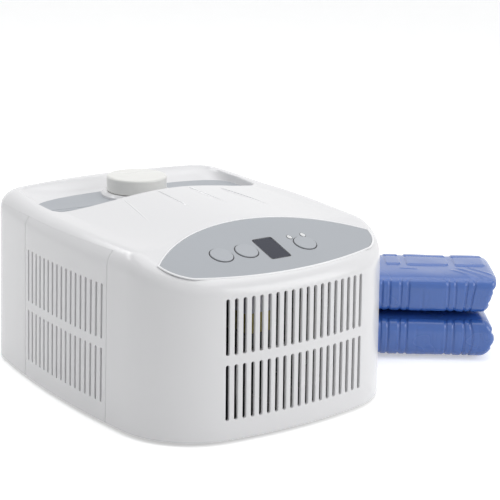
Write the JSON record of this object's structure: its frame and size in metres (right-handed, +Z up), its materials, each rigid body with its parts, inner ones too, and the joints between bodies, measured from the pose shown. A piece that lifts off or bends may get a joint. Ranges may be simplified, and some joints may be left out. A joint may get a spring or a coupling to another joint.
{
  "type": "water cooling mattress pad",
  "caption": "Bedside water circulator with grille, control facia, filler cap and rear hose couplings, with its welded blue water pad folded beside it.",
  "frame": {"origin": "centre of the whole set's box, on the floor", "axes": "+X to the unit's right towards the folded pad, +Y to the unit's rear, +Z up"},
  "size_m": [0.4072, 0.32, 0.1647],
  "materials": {
    "casing": "glossy warm white moulding",
    "facia": "satin mid grey",
    "louvres": "satin grey",
    "button": "satin light grey",
    "display": "dark smoked window",
    "dark_plastic": "matt black moulding",
    "lamp": "milky lens",
    "cap": "satin cream moulding",
    "seal": "soft black rubber",
    "feet": "soft grey rubber",
    "steel": "zinc plated",
    "core": "dark lamination stack",
    "coil": "yellow wrapped winding",
    "terminal": "white nylon",
    "board": "green laminate",
    "capacitor": "dark sleeve",
    "foam": "open grey foam",
    "tank": "milky moulding",
    "aluminium": "bare fins and tubes",
    "hose": "translucent tube",
    "coupling": "white acetal",
    "pad": "blue welded vinyl, satin"
  },
  "bodies": {
    "unit": {"main_cover": "casing", "rear_cover": "casing", "vent_panel_left": "casing", "vent_panel_right": "casing", "base_pan": "casing", "rubber_feet": "feet", "base_screws": "steel", "facia_plate": "facia", "display_window": "display", "display_module": "dark_plastic", "lamp_lenses": "lamp", "control_board": "board", "tact_switches": "dark_plastic", "well_tray": "louvres", "filler_neck": "casing", "neck_collar": "casing", "neck_seal": "seal", "water_tank": "tank", "tank_lid": "tank", "level_stem": "coupling", "pump_body": "dark_plastic", "fan_frame": "dark_plastic", "radiator": "aluminium", "transformer_bracket": "steel", "transformer_core": "core", "transformer_coil": "coil", "terminal_block": "terminal", "power_board": "board", "capacitors": "capacitor", "dust_filter_left": "foam", "dust_filter_right": "foam", "outlet_coupling": "coupling", "inlet_coupling": "coupling", "power_gland": "dark_plastic", "supply_hose": "hose", "return_hose": "hose", "radiator_hose": "hose"},
    "button_left_body": {"button_left": "button"},
    "button_middle_body": {"button_middle": "button"},
    "button_right_body": {"button_right": "button"},
    "cap_lift_body": {"cap_seal": "seal"},
    "cap_body": {"filler_cap": "cap"},
    "fan_body": {"fan_rotor": "dark_plastic"},
    "impeller_body": {"pump_impeller": "coupling"},
    "float_body": {"level_float": "tank"},
    "drain_body": {"drain_plug": "dark_plastic"},
    "pad_lower_body": {"pad_lower": "pad", "pad_ports": "coupling", "pad_fold": "pad"},
    "pad_upper_body": {"pad_upper": "pad"}
  },
  "joints": [
    {"name": "press_left", "type": "slide", "parent": "unit", "child": "button_left_body", "axis": [0, 0.309, -0.9511], "range_m": [0, 0.0006], "stiffness_N_per_m": 800},
    {"name": "press_middle", "type": "slide", "parent": "unit", "child": "button_middle_body", "axis": [0, 0.309, -0.9511], "range_m": [0, 0.0006], "stiffness_N_per_m": 800},
    {"name": "press_right", "type": "slide", "parent": "unit", "child": "button_right_body", "axis": [0, 0.309, -0.9511], "range_m": [0, 0.0006], "stiffness_N_per_m": 800},
    {"name": "cap_lift", "type": "slide", "parent": "unit", "child": "cap_lift_body", "axis": [0, 0, 1], "range_m": [0, 0.06]},
    {"name": "cap_turn", "type": "hinge", "parent": "cap_lift_body", "child": "cap_body", "pos_m": [-0.07963, 0.073, 0.153], "axis": [0, 0, 1], "range_deg": [0, 540]},
    {"name": "fan_spin", "type": "hinge", "parent": "unit", "child": "fan_body", "pos_m": [-0.02863, -0.092, 0.063], "axis": [0, 1, 0], "continuous": true},
    {"name": "impeller_spin", "type": "hinge", "parent": "unit", "child": "impeller_body", "pos_m": [-0.13163, 0.006, 0.016], "axis": [0, 0, 1], "continuous": true},
    {"name": "float_rise", "type": "slide", "parent": "unit", "child": "float_body", "axis": [0, 0, 1], "range_m": [0, 0.07]},
    {"name": "drain_pull", "type": "slide", "parent": "unit", "child": "drain_body", "axis": [0, 1, 0], "range_m": [0, 0.03]},
    {"name": "pad_lift", "type": "slide", "parent": "unit", "child": "pad_lower_body", "axis": [0, 0, 1], "range_m": [0, 0.2]},
    {"name": "pad_unfold", "type": "hinge", "parent": "pad_lower_body", "child": "pad_upper_body", "pos_m": [0.15767, -0.02313, 0.0398], "axis": [-0.8023, 0.5969, 0], "range_deg": [0, 180], "deforming": ["pad_fold"]}
  ]
}
